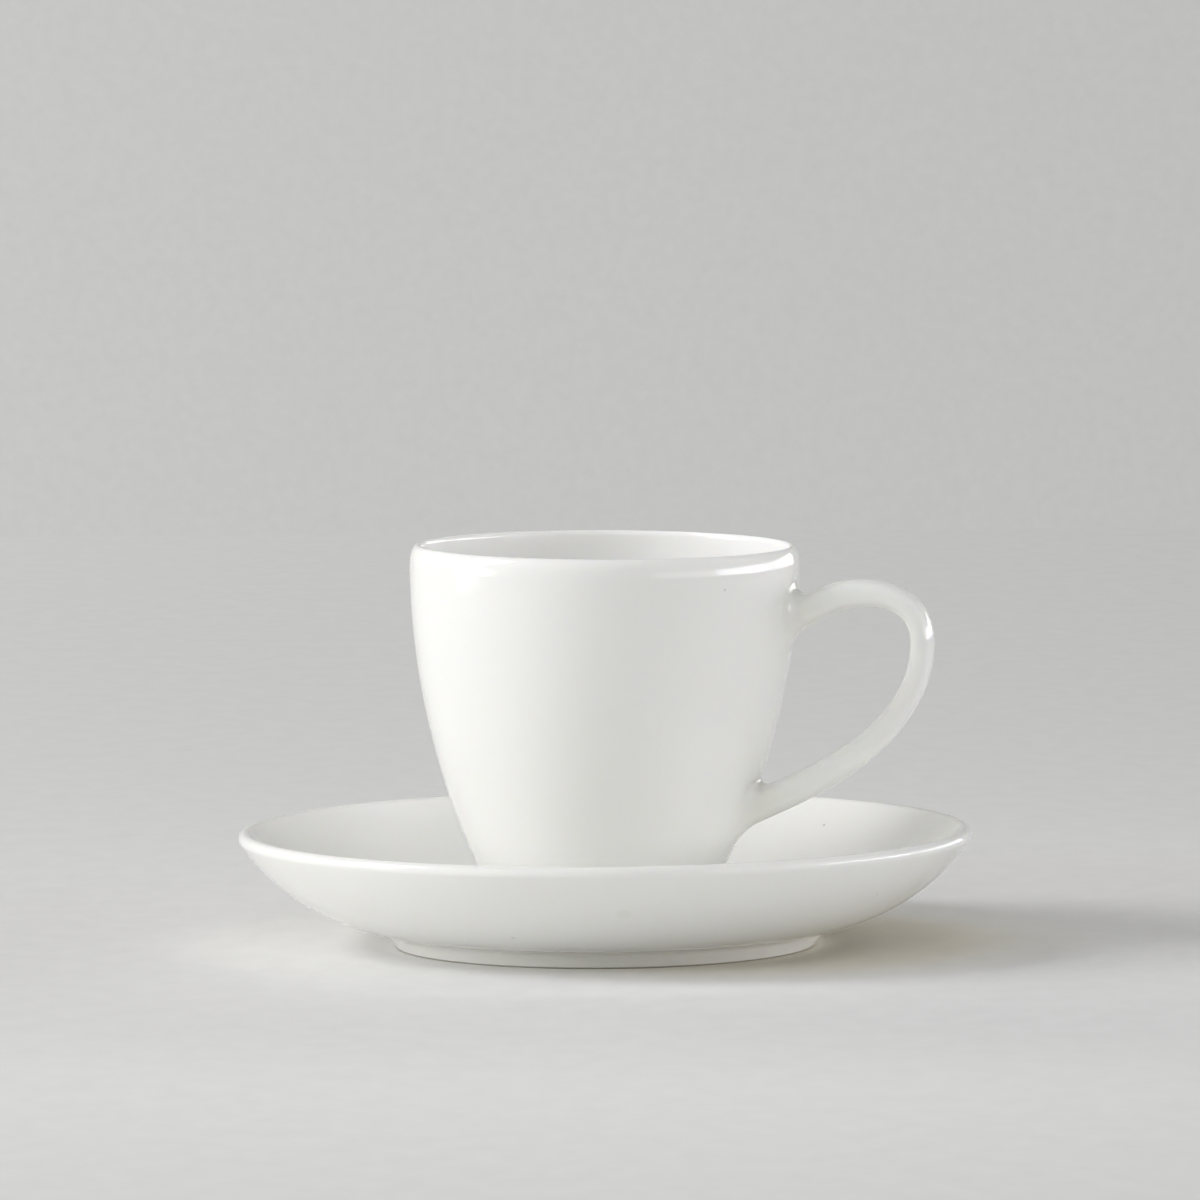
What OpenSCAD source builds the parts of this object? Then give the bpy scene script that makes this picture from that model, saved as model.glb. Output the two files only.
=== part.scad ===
// Espresso cup standing in the well of its saucer, both of glazed white china.
// Millimetres, +Z up. The origin is the middle of the saucer's foot, on the table.
// The handle points along +X. Heights on the cup count from the bottom of its foot.

/* [Saucer] */
// Diameter over the rim
saucer_d = 120; // [112:1:140]
// Height of the rim's top above the table
saucer_h = 19.2; // [17:0.1:24]
// Thickness of the rounded rim
saucer_rim_t = 2.3; // [1.8:0.1:3]
// Diameter of the circle on which the underside runs level
saucer_belly_d = 63.6; // [58:0.1:66]
// Height of the underside on that circle
saucer_belly_h = 2.5; // [2.2:0.1:3.4]

/* [Saucer foot] */
// Outer diameter of the flat that the foot ring stands on
saucer_foot_d = 67.8; // [66:0.1:74]
// Width of that flat
saucer_foot_flat = 1.6; // [1:0.1:2.4]
// How far the ring's outer side leans out on its way up to the body
saucer_foot_lean = 1; // [0.4:0.1:2]
// Height of the panel inside the ring
saucer_panel_h = 1.5; // [1:0.1:2]

/* [Dish and well] */
// Diameter of the dish's level floor
dish_floor_d = 62; // [52:0.1:66]
// Height of the dish's floor above the table
dish_floor_h = 5.4; // [4.8:0.1:6.2]
// Depth of the well that the cup stands in
well_depth = 0.7; // [0.4:0.1:1]
// Clearance round the cup's foot in the well
well_gap = 1.2; // [0.5:0.1:2]

/* [Cup] */
// Diameter over the rim
cup_d = 63.8; // [58:0.1:72]
// Height from the foot to the rim
cup_h = 61; // [55:0.5:70]
// Thickness of the rounded rim
cup_rim_t = 1.8; // [1.4:0.1:2.6]
// Diameter that the wall's outer curve would reach if it ran on down to the table
cup_base_d = 32; // [30:0.1:36]
// Thickness that the wall would have there
cup_base_t = 2.9; // [2.2:0.1:3.6]
// Thickness of the floor
cup_floor_t = 3; // [2.2:0.1:4]
// Radius with which the outside turns under to the foot
cup_turn_r = 3.5; // [2.8:0.1:4.5]
// Radius with which the inside runs out into the floor
cup_bowl_r = 9; // [6:0.1:10]

/* [Cup foot] */
// How far the foot ring stands in from the outside of the turn above it
cup_foot_inset = 2.1; // [1.5:0.1:3.2]
// Width of the flat that the ring stands on
cup_foot_flat = 1.2; // [0.8:0.1:1.8]
// Height of the foot ring below the body
cup_foot_h = 1.8; // [1.2:0.1:2.6]
// Depth of the recess inside the ring
cup_recess_h = 1.4; // [0.8:0.1:2]

/* [Handle] */
// Height of the upper end's middle on the wall
handle_top_h = 49.7; // [46:0.1:51]
// Height of the lower end's middle on the wall
handle_low_h = 17.7; // [16:0.1:22]
// How far the bow's centre line stands out past the rim
handle_reach = 21.2; // [18:0.1:26]
// Height of the bow's outermost point
handle_bow_h = 45.8; // [40:0.1:47]
// Angle at which the upper end rises from the wall
handle_top_rise = 26; // [15:1:30]
// Angle at which the lower end rises from the wall
handle_low_rise = 25; // [15:1:30]
// Breadth from side to side
handle_w = 6.5; // [5:0.1:8]
// Thickness at the upper end
handle_top_t = 5; // [4:0.1:5.6]
// Thickness at the outermost point of the bow
handle_bow_t = 3.7; // [3:0.1:5]
// Thickness at the lower end
handle_low_t = 5.1; // [4:0.1:5.8]
// Leg of the rounded joint, along the handle and along the wall
handle_fillet = 4; // [2.5:0.1:4.4]

/* [Hidden] */
china = [0.95, 0.95, 0.93];
$fn = 128;

// Steps along a long arc, a rim and a small rounding
long_steps = 26;
rim_steps = 16;
round_steps = 4;

// Leg of the roundings: on the foot rings, in the crease above the saucer's, and on all other corners
foot_round = 0.3;
crease_round = 1;
corner_round = 0.5;
// Lean of a foot ring's inner side, as a share of its height
inner_lean_share = 0.5;

// Saucer: middle of the rim's bead, and the radii of the two long arcs that run into it
saucer_bead_r = saucer_rim_t / 2;
saucer_bead = [saucer_d / 2 - saucer_bead_r, saucer_h - saucer_bead_r];
belly_low = [saucer_belly_d / 2, saucer_belly_h];
belly_r = level_arc_r(belly_low, saucer_bead, -saucer_bead_r);
belly_mid = belly_low + [0, belly_r];
dish_low = [dish_floor_d / 2, dish_floor_h];
dish_r = level_arc_r(dish_low, saucer_bead, saucer_bead_r);
dish_mid = dish_low + [0, dish_r];

// Saucer's foot: inner and outer corners on the table, and the crease under the body
saucer_foot_out = saucer_foot_d / 2 + foot_round;
saucer_foot_in = saucer_foot_d / 2 - saucer_foot_flat - foot_round;
saucer_crease_r = saucer_foot_out + saucer_foot_lean;
saucer_crease = [saucer_crease_r, belly_mid.y - half_chord(belly_r, saucer_crease_r - belly_mid.x)];

// Cup: middle of the rim's bead, and the arcs of the wall's outside and inside
cup_bead_r = cup_rim_t / 2;
cup_bead = [cup_d / 2 - cup_bead_r, cup_h - cup_bead_r];
cup_draw_in = (cup_d - cup_base_d) / 2;
wall_r = upright_arc_r(cup_draw_in, cup_bead.y);
wall_mid = [cup_d / 2 - wall_r, cup_bead.y];
lining_r = upright_arc_r(cup_draw_in + cup_base_t - cup_rim_t, cup_bead.y);
lining_mid = [cup_bead.x - cup_bead_r - lining_r, cup_bead.y];

// Cup's turn under to the foot, and the bowl's turn into the floor
turn_h = cup_foot_h + cup_turn_r;
turn_mid = [wall_mid.x + half_chord(wall_r - cup_turn_r, wall_mid.y - turn_h), turn_h];
cup_floor_h = cup_recess_h + cup_floor_t;
bowl_h = cup_floor_h + cup_bowl_r;
bowl_mid = [lining_mid.x + half_chord(lining_r - cup_bowl_r, lining_mid.y - bowl_h), bowl_h];
cup_foot_out = turn_mid.x + cup_turn_r - cup_foot_inset;
cup_foot_in = cup_foot_out - cup_foot_flat - 2 * foot_round;
cup_crease = [cup_foot_out, turn_mid.y - half_chord(cup_turn_r, cup_foot_out - turn_mid.x)];

// Well: its floor carries the cup, and its side clears the cup's foot
well_h = dish_floor_h - well_depth;
well_r = cup_foot_out + well_gap;

// Handle: the film of fired slip that joins it, and the stretch of root left straight past the joint
slip_t = 0.05;
root_spare = 0.4;
// Points round the handle, and steps along a span, along a joint and across a seat
sides = 28;
span_steps = 20;
fillet_steps = 6;
cap_steps = 3;
// Power of the section's rounded outline: 2 is an ellipse, more is squarer
section_power = 2.6;
// Length of each curve's pull, as a share of the span that it bends across
top_pull_share = 0.46;
bow_top_pull_share = 0.52;
bow_low_pull_share = 0.58;
low_pull_share = 0.27;

// Ends of the handle on the wall, and the straight roots that lead out of them
top_seat = [wall_x(handle_top_h), handle_top_h];
low_seat = [wall_x(handle_low_h), handle_low_h];
top_way = [cos(handle_top_rise), sin(handle_top_rise)];
low_way = [cos(handle_low_rise), sin(handle_low_rise)];
top_start = top_seat + root_length(handle_top_t, handle_top_rise, handle_top_h) * top_way;
low_start = low_seat + root_length(handle_low_t, handle_low_rise, handle_low_h) * low_way;
bow = [cup_d / 2 + handle_reach, handle_bow_h];

// Half a chord's length at a distance from the middle of a circle
function half_chord(r, away) = sqrt(r * r - away * away);

// Radius of the arc that is level at low and touches a bead: bead_r is minus to go round its outside
function level_arc_r(low, bead, bead_r) =
    let (across = bead - low)
    (across * across - bead_r * bead_r) / (2 * (across.y + bead_r));

// Radius of the arc that starts upright and draws in by a width over a height
function upright_arc_r(width, height) = (width * width + height * height) / (2 * width);

// Direction from one point to another, in degrees and as a unit vector
function bearing(from, to) = atan2(to.y - from.y, to.x - from.x);
function unit(v) = v / norm(v);

// Points along an arc
function arc(mid, r, from, to, steps) =
    [for (i = [0:steps]) let (a = from + (to - from) * i / steps) mid + r * [cos(a), sin(a)]];

// Point on a curve that leaves a towards pull and arrives at b from it
function bend(a, pull, b, t) = (1 - t) * (1 - t) * a + 2 * t * (1 - t) * pull + t * t * b;

// Rounding of a corner between the points before and after it
function rounding(before, corner, after, leg) =
    let (a = corner + leg * unit(before - corner), b = corner + leg * unit(after - corner))
    [for (i = [0:round_steps]) bend(a, corner, b, i / round_steps)];

// Half section of the saucer, from the panel under it round the rim to the well
function saucer_outline() =
    let (
        panel = [saucer_foot_in - inner_lean_share * saucer_panel_h, saucer_panel_h],
        foot_in = [saucer_foot_in, 0],
        foot_out = [saucer_foot_out, 0],
        belly_from = bearing(belly_mid, saucer_crease),
        belly_to = bearing(belly_mid, saucer_bead),
        rim_to = bearing(saucer_bead, dish_mid),
        belly = arc(belly_mid, belly_r, belly_from, belly_to, long_steps),
        dish = arc(dish_mid, dish_r, rim_to - 180, -90, long_steps),
        well_edge = [well_r, dish_floor_h],
        well_foot = [well_r - well_depth, well_h]
    )
    concat(
        [[0, saucer_panel_h]],
        rounding([0, saucer_panel_h], panel, foot_in, corner_round),
        rounding(panel, foot_in, foot_out, foot_round),
        rounding(foot_in, foot_out, saucer_crease, foot_round),
        rounding(foot_out, saucer_crease, belly[1], crease_round),
        [for (p = belly) if (p.x > saucer_crease.x + crease_round) p],
        arc(saucer_bead, saucer_bead_r, belly_to, rim_to, rim_steps),
        dish,
        rounding(dish_low, well_edge, well_foot, corner_round),
        rounding(well_edge, well_foot, [0, well_h], corner_round),
        [[0, well_h]]
    );

// Half section of the cup, from the recess under it round the rim to the floor
function cup_outline() =
    let (
        recess = [cup_foot_in - inner_lean_share * cup_recess_h, cup_recess_h],
        foot_in = [cup_foot_in, 0],
        foot_out = [cup_foot_out, 0],
        turn_to = bearing(wall_mid, turn_mid),
        turn = arc(turn_mid, cup_turn_r, bearing(turn_mid, cup_crease), turn_to, rim_steps),
        bowl_from = bearing(lining_mid, bowl_mid)
    )
    concat(
        [[0, cup_recess_h]],
        rounding([0, cup_recess_h], recess, foot_in, corner_round),
        rounding(recess, foot_in, foot_out, foot_round),
        rounding(foot_in, foot_out, cup_crease, foot_round),
        turn,
        arc(wall_mid, wall_r, turn_to, 0, long_steps),
        arc(cup_bead, cup_bead_r, 0, 180, rim_steps),
        arc(lining_mid, lining_r, 0, bowl_from, long_steps),
        arc(bowl_mid, cup_bowl_r, bowl_from, -90, rim_steps),
        [[0, cup_floor_h]]
    );

// Radius of the cup's outside at a height, and the angle by which it leans out there
function wall_x(h) = wall_mid.x + half_chord(wall_r, wall_mid.y - h);
function wall_lean(h) = asin((wall_mid.y - h) / wall_r);

// Length of a straight root: the joint's leg, and what its slant on the wall takes up
function root_length(t, rise, h) = handle_fillet + t / 2 * tan(rise + wall_lean(h)) + root_spare;

// The seat's skin, one film of slip outside the wall, at a place across and a height
function skin(across, h) = [half_chord(wall_x(h) + slip_t, across), across, h];

// Slides a point along a way until it meets the skin, by closer and closer guesses
function slide(p, way, guesses = 6) =
    guesses == 0 ? skin(p.y, p.z)
    : slide(p + way * (skin(p.y, p.z).x - p.x) / way.x, way, guesses - 1);

// Middle line of the two spans: from the upper root to the bow, and from the bow to the lower root
function curve(a, pull_a, pull_b, b, t) =
    pow(1 - t, 3) * a + 3 * pow(1 - t, 2) * t * pull_a + 3 * (1 - t) * t * t * pull_b + pow(t, 3) * b;
function slope(a, pull_a, pull_b, b, t) =
    unit(pow(1 - t, 2) * (pull_a - a) + 2 * (1 - t) * t * (pull_b - pull_a) + t * t * (b - pull_b));

// One ring of the handle: its middle, the way it faces, its thickness
function section(mid, way, t) =
    let (out = [-way.y, way.x])
    [for (i = [0:sides - 1])
        let (
            a = 360 * i / sides,
            thick = t / 2 * sign(cos(a)) * pow(abs(cos(a)), 2 / section_power),
            wide = handle_w / 2 * sign(sin(a)) * pow(abs(sin(a)), 2 / section_power)
        )
        [mid.x + out.x * thick, wide, mid.y + out.y * thick]];

// Thickness eases from one size to another along a span
function eased(from, to, t) = from + (to - from) * t * t * (3 - 2 * t);

// Rings of one span
function span(a, pull_a, pull_b, b, t_a, t_b) =
    [for (i = [0:span_steps])
        let (t = i / span_steps)
        section(curve(a, pull_a, pull_b, b, t), slope(a, pull_a, pull_b, b, t), eased(t_a, t_b, t))];

// Rings of one joint, from the wall outwards: each side of the root bends out onto the skin,
// and before them come the rings of the seat itself, from its middle to its edge
function joint(ring, way) =
    let (
        out = [way.x, 0, way.y],
        met = [for (p = ring) slide(p, out)],
        mid_h = [for (p = met) p.z] * [for (p = met) 1] / len(met),
        edge = [for (p = met)
            let (side = handle_fillet * unit([p.y, p.z - mid_h]))
            skin(p.y + side.x, p.z + side.y)],
        seat = [for (k = [1:cap_steps - 1])
            [for (p = edge) skin(p.y * k / cap_steps, mid_h + (p.z - mid_h) * k / cap_steps)]],
        flare = [for (k = [0:fillet_steps])
            [for (i = [0:sides - 1])
                bend(edge[i], met[i], met[i] + handle_fillet * out, k / fillet_steps)]]
    )
    concat(seat, flare);

// All rings from the middle of the upper seat to the middle of the lower one
function handle_rings() =
    let (
        bow_top_pull = bow + [0, bow_top_pull_share * (bow.x - top_start.x)],
        bow_low_pull = bow - [0, bow_low_pull_share * (bow.y - low_start.y)],
        top_pull = top_start + top_pull_share * (bow.x - top_start.x) * top_way,
        low_pull = low_start + low_pull_share * (bow.x - low_start.x) * low_way,
        upper = span(top_start, top_pull, bow_top_pull, bow, handle_top_t, handle_bow_t),
        lower = span(bow, bow_low_pull, low_pull, low_start, handle_bow_t, handle_low_t),
        top_joint = joint(upper[0], top_way),
        low_joint = joint(lower[span_steps], low_way),
        last = len(low_joint) - 1
    )
    concat(
        top_joint,
        upper,
        [for (i = [1:span_steps]) lower[i]],
        [for (i = [0:last]) low_joint[last - i]]
    );

// Closed skin over a run of rings, with a middle point at each end
module swept(rings, first_mid, last_mid) {
    count = len(rings);
    points = concat([for (r = rings) each r], [first_mid, last_mid]);
    first = count * sides;
    walls = [for (r = [0:count - 2], i = [0:sides - 1])
        let (
            j = (i + 1) % sides,
            a = r * sides + i,
            b = r * sides + j
        )
        each [[a, b, b + sides], [a, b + sides, a + sides]]];
    ends = [for (i = [0:sides - 1])
        let (j = (i + 1) % sides)
        each [[first, j, i], [first + 1, first - sides + i, first - sides + j]]];
    polyhedron(points, concat(walls, ends), convexity = 6);
}

module saucer() {
    color(china) rotate_extrude() polygon(saucer_outline());
}

module cup_body() {
    color(china) translate([0, 0, well_h]) rotate_extrude() polygon(cup_outline());
}

module cup_handle() {
    color(china) translate([0, 0, well_h])
        swept(handle_rings(), skin(0, handle_top_h), skin(0, handle_low_h));
}

saucer();
cup_body();
cup_handle();
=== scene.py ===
"""Espresso cup in the well of its saucer, both of glazed white china.

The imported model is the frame. Smooth turned bodies and a smooth handle take the place of its
nodes, a clear glaze with thin edges, pooled creases and a few specks covers them, and a small
studio lights them. Sizes are in millimetres, and MM turns them into metres.
"""

import logging
import math
from collections.abc import Iterable
from dataclasses import dataclass
from enum import Enum
from itertools import pairwise

import bpy
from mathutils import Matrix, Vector


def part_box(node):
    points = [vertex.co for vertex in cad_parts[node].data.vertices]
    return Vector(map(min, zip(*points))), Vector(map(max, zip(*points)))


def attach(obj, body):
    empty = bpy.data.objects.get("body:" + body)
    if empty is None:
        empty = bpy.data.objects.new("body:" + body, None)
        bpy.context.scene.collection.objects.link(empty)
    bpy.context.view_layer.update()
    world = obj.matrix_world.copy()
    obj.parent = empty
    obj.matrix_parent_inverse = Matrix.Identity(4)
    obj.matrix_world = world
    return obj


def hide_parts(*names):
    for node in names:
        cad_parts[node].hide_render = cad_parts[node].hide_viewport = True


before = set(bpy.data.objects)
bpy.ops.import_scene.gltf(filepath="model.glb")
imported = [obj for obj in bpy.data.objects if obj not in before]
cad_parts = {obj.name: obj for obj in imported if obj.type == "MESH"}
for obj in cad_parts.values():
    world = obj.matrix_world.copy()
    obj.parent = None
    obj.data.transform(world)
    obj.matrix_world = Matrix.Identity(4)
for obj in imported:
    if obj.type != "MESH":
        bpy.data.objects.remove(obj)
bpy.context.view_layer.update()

MM = 0.001
LINING = "lining_light"

Point = tuple[float, float]
Place = tuple[float, float, float]
AnyPoint = Point | Place
Colour = tuple[float, float, float]
Socket = bpy.types.NodeSocket
Sockets = bpy.types.bpy_prop_collection
Feed = Socket | float | tuple

log = logging.getLogger("espresso_cup")


class BeadSide(Enum):
    """The side of a rim's bead that a long arc runs into."""

    INNER = 1
    OUTER = -1


def blended(shares: Iterable[float], values: Iterable[float]) -> float:
    """Returns the sum of some values, each times its share."""
    return sum(share * value for share, value in zip(shares, values))


def half_chord(radius: float, away: float) -> float:
    """Returns half a chord's length at a distance from the middle of a circle."""
    return math.sqrt(radius * radius - away * away)


def level_arc_radius(low: Point, bead: Point, bead_radius: float, side: BeadSide) -> float:
    """Finds the arc that is level at one end and touches a rim's bead at the other.

    Args:
        low: the point where the arc runs level.
        bead: the middle of the bead.
        bead_radius: the bead's radius.
        side: the side of the bead that the arc runs into.

    Returns:
        The arc's radius.
    """
    reach = side.value * bead_radius
    across, up = bead[0] - low[0], bead[1] - low[1]
    return (across * across + up * up - reach * reach) / (2 * (up + reach))


def upright_arc_radius(width: float, height: float) -> float:
    """Returns the radius of the arc that starts upright and draws in by a width over a height."""
    return (width * width + height * height) / (2 * width)


def bearing(start: Point, end: Point) -> float:
    """Returns the direction from one point to another, in radians."""
    return math.atan2(end[1] - start[1], end[0] - start[0])


def arc(middle: Point, radius: float, start: float, end: float, steps: int) -> list[Point]:
    """Lists the points along an arc.

    Args:
        middle: the middle of the circle.
        radius: its radius.
        start: the direction of the first point, in radians.
        end: the direction of the last point.
        steps: the number of steps between them.

    Returns:
        The points, one more than the steps.
    """
    return oval_arc(middle, (radius, radius), start, end, steps)


def oval_arc(middle: Point, radii: Point, start: float, end: float, steps: int) -> list[Point]:
    """Lists the points along the arc of an oval.

    Args:
        middle: the middle of the oval.
        radii: its half width and half height.
        start: the turn of the first point, in radians.
        end: the turn of the last point.
        steps: the number of steps between them.

    Returns:
        The points, one more than the steps.
    """
    turns = [start + (end - start) * i / steps for i in range(steps + 1)]
    return [(middle[0] + radii[0] * math.cos(a), middle[1] + radii[1] * math.sin(a)) for a in turns]


def bend(start: AnyPoint, pull: AnyPoint, end: AnyPoint, steps: int) -> list[AnyPoint]:
    """Lists the points of a curve from one point to another that a pull draws out.

    Args:
        start: the first point.
        pull: the point that draws the curve.
        end: the last point.
        steps: the number of steps between them.

    Returns:
        The points, one more than the steps.
    """
    points = []
    for t in (i / steps for i in range(steps + 1)):
        shares = ((1 - t) ** 2, 2 * t * (1 - t), t * t)
        points.append(tuple(blended(shares, axis) for axis in zip(start, pull, end)))
    return points


def towards(corner: Point, other: Point, leg: float) -> Point:
    """Returns the point at a distance from a corner in the direction of another point."""
    turn = bearing(corner, other)
    return (corner[0] + leg * math.cos(turn), corner[1] + leg * math.sin(turn))


def rounding(before: Point, corner: Point, after: Point, leg: float, steps: int) -> list[Point]:
    """Rounds the corner of an outline.

    Args:
        before: the point before the corner.
        corner: the corner.
        after: the point after it.
        leg: how far from the corner the rounding starts and ends.
        steps: the number of steps along it.

    Returns:
        The points of the rounding.
    """
    return bend(towards(corner, before, leg), corner, towards(corner, after, leg), steps)


class NodeBoard:
    """Places nodes in a tree and links them, so that building a tree reads like a sum."""

    def __init__(self, tree: bpy.types.NodeTree) -> None:
        """Starts on a tree."""
        self.tree = tree

    def add(self, kind: str, inputs: dict | None = None, **settings: object) -> bpy.types.Node:
        """Places one node.

        Args:
            kind: the node's type name.
            inputs: what each socket gets, a value or another socket, by identifier or name.
            settings: the node's own properties.

        Returns:
            The node.
        """
        node = self.tree.nodes.new(kind)
        for name, value in settings.items():
            setattr(node, name, value)
        for name, value in (inputs or {}).items():
            socket = next(s for s in node.inputs if name in (s.identifier, s.name))
            if isinstance(value, Socket):
                self.tree.links.new(value, socket)
            else:
                socket.default_value = value
        return node

    def sum(self, operation: str, *values: Feed) -> Socket:
        """Places a Math node and returns its result."""
        names = ("Value", "Value_001", "Value_002")
        return self.add("ShaderNodeMath", dict(zip(names, values)), operation=operation).outputs[0]

    def blend_value(self, share: Feed, start: Feed, end: Feed) -> Socket:
        """Mixes two values by a share and returns the result."""
        inputs = {"Factor_Float": share, "A_Float": start, "B_Float": end}
        return self.add("ShaderNodeMix", inputs, data_type="FLOAT").outputs[0]

    def blend_colour(self, share: Feed, start: Feed, end: Feed) -> Socket:
        """Mixes two colours by a share and returns the result."""
        inputs = {"Factor_Float": share, "A_Color": start, "B_Color": end}
        return self.add("ShaderNodeMix", inputs, data_type="RGBA").outputs[2]

    def fade(self, value: Feed, start: Feed, end: Feed) -> Socket:
        """Returns 0 where a value is at start and 1 where it is at end, with a soft way between."""
        inputs = {"Value": value, "From Min": start, "From Max": end}
        return self.add("ShaderNodeMapRange", inputs, interpolation_type="SMOOTHSTEP").outputs[0]

    def split(self, place: Feed) -> Sockets:
        """Splits a place and returns the sockets of its three axes."""
        return self.add("ShaderNodeSeparateXYZ", {"Vector": place}).outputs

    def join(self, x: Feed, y: Feed, z: Feed = 0.0) -> Socket:
        """Joins three axes into a place."""
        return self.add("ShaderNodeCombineXYZ", {"X": x, "Y": y, "Z": z}).outputs[0]

    def length(self, x: Feed, y: Feed) -> Socket:
        """Returns the length of the slant over two upright sides."""
        slant = {"Vector": self.join(x, y)}
        return self.add("ShaderNodeVectorMath", slant, operation="LENGTH").outputs["Value"]

    def scaled(self, colour: Feed, factor: Feed) -> Socket:
        """Returns a colour times a factor."""
        inputs = {"Vector": colour, "Scale": factor}
        return self.add("ShaderNodeVectorMath", inputs, operation="SCALE").outputs[0]

    def noise(self, place: Feed, scale: Feed, detail: float) -> Socket:
        """Returns a soft noise over a place."""
        inputs = {"Vector": place, "Scale": scale, "Detail": detail}
        return self.add("ShaderNodeTexNoise", inputs).outputs[0]


def new_group(kind: str, name: str, inputs: dict[str, str], outputs: dict[str, str]) -> NodeBoard:
    """Starts a node group with named sockets.

    Args:
        kind: GeometryNodeTree or ShaderNodeTree.
        name: the group's name.
        inputs: the name of each input and its kind of socket, such as Float.
        outputs: the same for each output.

    Returns:
        A board on the new tree.
    """
    tree = bpy.data.node_groups.new(name, kind)
    for side, sockets in (("INPUT", inputs), ("OUTPUT", outputs)):
        for label, socket in sockets.items():
            tree.interface.new_socket(label, in_out=side, socket_type=f"NodeSocket{socket}")
    return NodeBoard(tree)


def new_surface(name: str) -> tuple[bpy.types.Material, NodeBoard]:
    """Starts a material and returns it with a board on its empty tree."""
    made = bpy.data.materials.new(name)
    made.use_nodes = True
    made.node_tree.nodes.clear()
    return made, NodeBoard(made.node_tree)


def placed(name: str, data: bpy.types.ID) -> bpy.types.Object:
    """Makes an object of a mesh, lamp or camera and puts it in the scene."""
    made = bpy.data.objects.new(name, data)
    bpy.context.scene.collection.objects.link(made)
    return made


@dataclass(frozen=True)
class FiringWarp:
    """The slight lean that a piece takes in the kiln, which grows from its foot to its rim.

    Attributes:
        foot_height: where the piece stands.
        height: the piece's height above its foot.
        wall_lean: how far the walls lean towards +X, in degrees.
        rim_tilt: how far the rim dips on that side, in degrees.
        shift: how far off the axis the piece was set down, towards +X.
    """

    foot_height: float = 0
    height: float = 1
    wall_lean: float = 0
    rim_tilt: float = 0
    shift: float = 0

    def bent(self, place: Place) -> Place:
        """Works out where a place ends up, as the turning tree does.

        Args:
            place: the place before the firing, in millimetres.

        Returns:
            The place after it.
        """
        x, y, z = place
        rise = z - self.foot_height
        lean = rise * math.tan(math.radians(self.wall_lean))
        dip = x * rise / self.height * math.tan(math.radians(self.rim_tilt))
        return (x + lean + self.shift, y, z - dip)


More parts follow.
